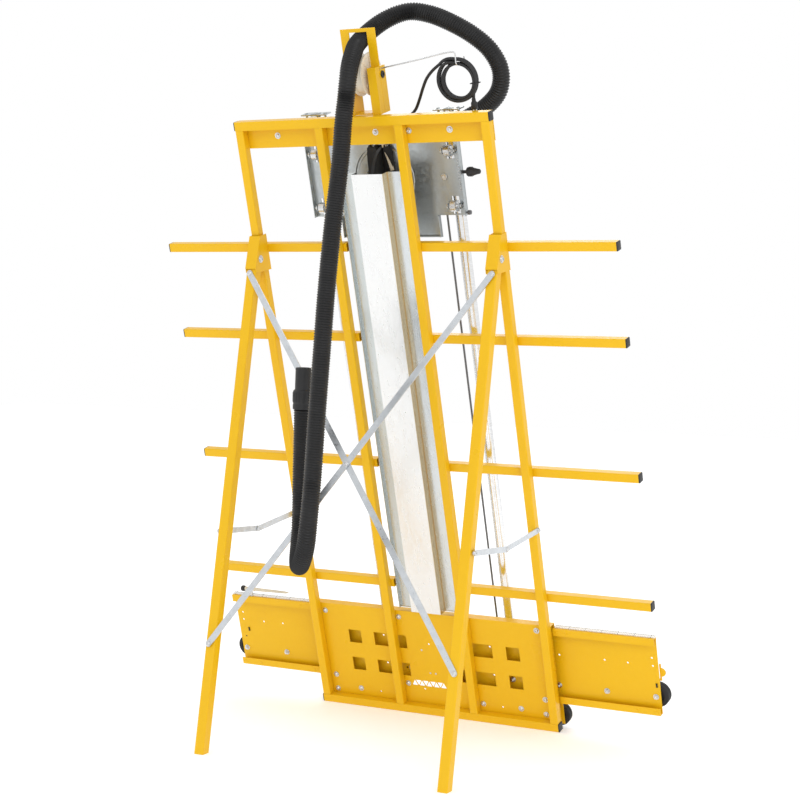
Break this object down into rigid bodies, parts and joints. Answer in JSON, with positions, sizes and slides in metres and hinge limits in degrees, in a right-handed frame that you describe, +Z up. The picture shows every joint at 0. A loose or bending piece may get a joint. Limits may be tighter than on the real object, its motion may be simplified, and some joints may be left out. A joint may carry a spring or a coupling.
{
  "type": "vertical panel saw",
  "caption": "Vertical panel saw on a folding A-frame stand, with a counterbalanced sliding carriage, turntable saw, sheet rollers and vacuum hose.",
  "frame": {"origin": "centre of the machine's box, without its hose and cord, on the floor", "axes": "+Z up, the operator stands on the -Y side, +X to the operator's right"},
  "size_m": [1.464, 0.9589, 2.0762],
  "materials": {
    "yellow_paint": "glossy powder coat",
    "zinc_sheet": "galvanized sheet, satin",
    "chrome_tube": "polished",
    "bright_steel": "bright",
    "black_plastic": "moulded, satin",
    "dark_metal": "dark satin",
    "reel_casing": "cast and painted, satin",
    "black_rubber": "matt"
  },
  "bodies": {
    "frame": {"header_beam": "yellow_paint", "upright_outer_left": "yellow_paint", "upright_inner_left": "yellow_paint", "upright_outer_right": "yellow_paint", "upright_inner_right": "yellow_paint", "bottom_rail": "yellow_paint", "support_bar_1_left": "yellow_paint", "support_bar_1_right": "yellow_paint", "support_bar_2_left": "yellow_paint", "support_bar_2_right": "yellow_paint", "support_bar_3_left": "yellow_paint", "support_bar_3_right": "yellow_paint", "support_bar_4_left": "yellow_paint", "support_bar_4_right": "yellow_paint", "centre_cover": "yellow_paint", "wing_left": "yellow_paint", "wing_right": "yellow_paint", "dust_channel": "zinc_sheet", "guide_tube_left": "chrome_tube", "guide_tube_right": "chrome_tube", "reel_bracket": "yellow_paint", "cord_hook_arm": "bright_steel", "counterbalance_cable": "bright_steel", "vacuum_hose": "black_rubber", "hose_cuff": "black_rubber", "power_cord": "black_rubber", "cord_coil": "black_rubber", "power_plug": "black_rubber"},
    "carriage": {"carriage_plate": "zinc_sheet"},
    "turntable": {"turntable": "zinc_sheet", "saw_body": "black_plastic"},
    "blade": {"saw_blade": "bright_steel"},
    "lower_guard": {"lower_guard": "dark_metal"},
    "trigger": {"trigger": "dark_metal"},
    "lock_knob": {"lock_knob": "black_plastic"},
    "reel": {"counterbalance_reel": "reel_casing"},
    "stand": {"leg_left": "yellow_paint", "leg_right": "yellow_paint", "brace_a": "zinc_sheet", "brace_b": "zinc_sheet"},
    "guide_wheel_upper_left": {"guide_wheel_upper_left": "bright_steel"},
    "guide_wheel_lower_left": {"guide_wheel_lower_left": "bright_steel"},
    "guide_wheel_upper_right": {"guide_wheel_upper_right": "bright_steel"},
    "guide_wheel_lower_right": {"guide_wheel_lower_right": "bright_steel"},
    "stay_front_left": {"stay_front_left": "zinc_sheet"},
    "stay_rear_left": {"stay_rear_left": "zinc_sheet"},
    "transport_wheel_left": {"transport_wheel_left": "black_plastic"},
    "sheet_roller_left_1": {"sheet_roller_left_1": "black_plastic"},
    "sheet_roller_left_2": {"sheet_roller_left_2": "black_plastic"},
    "sheet_roller_left_3": {"sheet_roller_left_3": "black_plastic"},
    "sheet_roller_left_4": {"sheet_roller_left_4": "black_plastic"},
    "sheet_roller_left_5": {"sheet_roller_left_5": "black_plastic"},
    "stay_front_right": {"stay_front_right": "zinc_sheet"},
    "stay_rear_right": {"stay_rear_right": "zinc_sheet"},
    "transport_wheel_right": {"transport_wheel_right": "black_plastic"},
    "sheet_roller_right_1": {"sheet_roller_right_1": "black_plastic"},
    "sheet_roller_right_2": {"sheet_roller_right_2": "black_plastic"},
    "sheet_roller_right_3": {"sheet_roller_right_3": "black_plastic"},
    "sheet_roller_right_4": {"sheet_roller_right_4": "black_plastic"},
    "sheet_roller_right_5": {"sheet_roller_right_5": "black_plastic"}
  },
  "joints": [
    {"name": "carriage_travel", "type": "slide", "parent": "frame", "child": "carriage", "axis": [0, -0.2644, -0.9644], "range_m": [0, 1.19]},
    {"name": "guide_wheel_upper_left_roll", "type": "hinge", "parent": "carriage", "child": "guide_wheel_upper_left", "pos_m": [-0.221, 0.06872, 1.67621], "axis": [1, 0, 0], "range_deg": [-4281, 0]},
    {"name": "guide_wheel_lower_left_roll", "type": "hinge", "parent": "carriage", "child": "guide_wheel_lower_left", "pos_m": [-0.221, 0.02774, 1.52673], "axis": [1, 0, 0], "range_deg": [-4281, 0]},
    {"name": "guide_wheel_upper_right_roll", "type": "hinge", "parent": "carriage", "child": "guide_wheel_upper_right", "pos_m": [0.203, 0.06872, 1.67621], "axis": [1, 0, 0], "range_deg": [-4281, 0]},
    {"name": "guide_wheel_lower_right_roll", "type": "hinge", "parent": "carriage", "child": "guide_wheel_lower_right", "pos_m": [0.203, 0.02774, 1.52673], "axis": [1, 0, 0], "range_deg": [-4281, 0]},
    {"name": "reel_turn", "type": "hinge", "parent": "frame", "child": "reel", "pos_m": [-0.0115, 0.16918, 1.88456], "axis": [1, 0, 0], "range_deg": [0, 1331]},
    {"name": "turntable_turn", "type": "hinge", "parent": "carriage", "child": "turntable", "pos_m": [0, 0.03646, 1.60469], "axis": [0, 0.9644, -0.2644], "range_deg": [0, 90]},
    {"name": "blade_spin", "type": "hinge", "parent": "turntable", "child": "blade", "pos_m": [0, 0.0191, 1.60945], "axis": [1, 0, 0], "continuous": true},
    {"name": "lower_guard_swing", "type": "hinge", "parent": "turntable", "child": "lower_guard", "pos_m": [0, 0.0191, 1.60945], "axis": [1, 0, 0], "range_deg": [0, 150], "stiffness_Nm_per_rad": 0.2, "springref_deg": -28.65},
    {"name": "trigger_pull", "type": "slide", "parent": "turntable", "child": "trigger", "axis": [0, -0.9644, 0.2644], "range_m": [0, 0.005], "stiffness_N_per_m": 400, "springref_m": -0.002},
    {"name": "lock_knob_turn", "type": "hinge", "parent": "carriage", "child": "lock_knob", "pos_m": [-0.2448, 0.03885, 1.61907], "axis": [1, 0, 0], "continuous": true},
    {"name": "stand_fold", "type": "hinge", "parent": "frame", "child": "stand", "pos_m": [0, 0.12212, 1.38005], "axis": [-1, 0, 0], "range_deg": [0, 26.5]},
    {"name": "stay_front_left_fold", "type": "hinge", "parent": "frame", "child": "stay_front_left", "pos_m": [0, -0.12309, 0.61682], "axis": [-1, 0, 0], "range_deg": [0, 59.14]},
    {"name": "stay_rear_left_fold", "type": "hinge", "parent": "stand", "child": "stay_rear_left", "pos_m": [0, 0.28345, 0.60915], "axis": [1, 0, 0], "range_deg": [0, 124.48]},
    {"name": "sheet_roller_left_1_roll", "type": "hinge", "parent": "frame", "child": "sheet_roller_left_1", "pos_m": [-0.096, -0.32093, 0.14629], "axis": [0, 0.9644, -0.2644], "continuous": true},
    {"name": "sheet_roller_left_2_roll", "type": "hinge", "parent": "frame", "child": "sheet_roller_left_2", "pos_m": [-0.246, -0.32093, 0.14629], "axis": [0, 0.9644, -0.2644], "continuous": true},
    {"name": "sheet_roller_left_3_roll", "type": "hinge", "parent": "frame", "child": "sheet_roller_left_3", "pos_m": [-0.396, -0.32093, 0.14629], "axis": [0, 0.9644, -0.2644], "continuous": true},
    {"name": "sheet_roller_left_4_roll", "type": "hinge", "parent": "frame", "child": "sheet_roller_left_4", "pos_m": [-0.546, -0.32093, 0.14629], "axis": [0, 0.9644, -0.2644], "continuous": true},
    {"name": "sheet_roller_left_5_roll", "type": "hinge", "parent": "frame", "child": "sheet_roller_left_5", "pos_m": [-0.696, -0.32093, 0.14629], "axis": [0, 0.9644, -0.2644], "continuous": true},
    {"name": "transport_wheel_left_roll", "type": "hinge", "parent": "frame", "child": "transport_wheel_left", "pos_m": [-0.38, -0.345, 0.04712], "axis": [0, 0.9644, -0.2644], "continuous": true},
    {"name": "stay_front_right_fold", "type": "hinge", "parent": "frame", "child": "stay_front_right", "pos_m": [0, -0.12309, 0.61682], "axis": [-1, 0, 0], "range_deg": [0, 59.14]},
    {"name": "stay_rear_right_fold", "type": "hinge", "parent": "stand", "child": "stay_rear_right", "pos_m": [0, 0.28345, 0.60915], "axis": [1, 0, 0], "range_deg": [0, 124.48]},
    {"name": "sheet_roller_right_1_roll", "type": "hinge", "parent": "frame", "child": "sheet_roller_right_1", "pos_m": [0.096, -0.32093, 0.14629], "axis": [0, 0.9644, -0.2644], "continuous": true},
    {"name": "sheet_roller_right_2_roll", "type": "hinge", "parent": "frame", "child": "sheet_roller_right_2", "pos_m": [0.246, -0.32093, 0.14629], "axis": [0, 0.9644, -0.2644], "continuous": true},
    {"name": "sheet_roller_right_3_roll", "type": "hinge", "parent": "frame", "child": "sheet_roller_right_3", "pos_m": [0.396, -0.32093, 0.14629], "axis": [0, 0.9644, -0.2644], "continuous": true},
    {"name": "sheet_roller_right_4_roll", "type": "hinge", "parent": "frame", "child": "sheet_roller_right_4", "pos_m": [0.546, -0.32093, 0.14629], "axis": [0, 0.9644, -0.2644], "continuous": true},
    {"name": "sheet_roller_right_5_roll", "type": "hinge", "parent": "frame", "child": "sheet_roller_right_5", "pos_m": [0.696, -0.32093, 0.14629], "axis": [0, 0.9644, -0.2644], "continuous": true},
    {"name": "transport_wheel_right_roll", "type": "hinge", "parent": "frame", "child": "transport_wheel_right", "pos_m": [0.38, -0.345, 0.04712], "axis": [0, 0.9644, -0.2644], "continuous": true}
  ],
  "couplings": [
    {"joint": "guide_wheel_upper_left_roll", "follows": "carriage_travel", "rad_per_m": -62.5},
    {"joint": "guide_wheel_lower_left_roll", "follows": "carriage_travel", "rad_per_m": -62.5},
    {"joint": "guide_wheel_upper_right_roll", "follows": "carriage_travel", "rad_per_m": -62.5},
    {"joint": "guide_wheel_lower_right_roll", "follows": "carriage_travel", "rad_per_m": -62.5},
    {"joint": "reel_turn", "follows": "carriage_travel", "rad_per_m": 19.231},
    {"joint": "stay_front_left_fold", "follows": "stand_fold", "ratio": 2.213},
    {"joint": "stay_rear_left_fold", "follows": "stand_fold", "ratio": 4.6786},
    {"joint": "stay_front_right_fold", "follows": "stand_fold", "ratio": 2.213},
    {"joint": "stay_rear_right_fold", "follows": "stand_fold", "ratio": 4.6786}
  ]
}
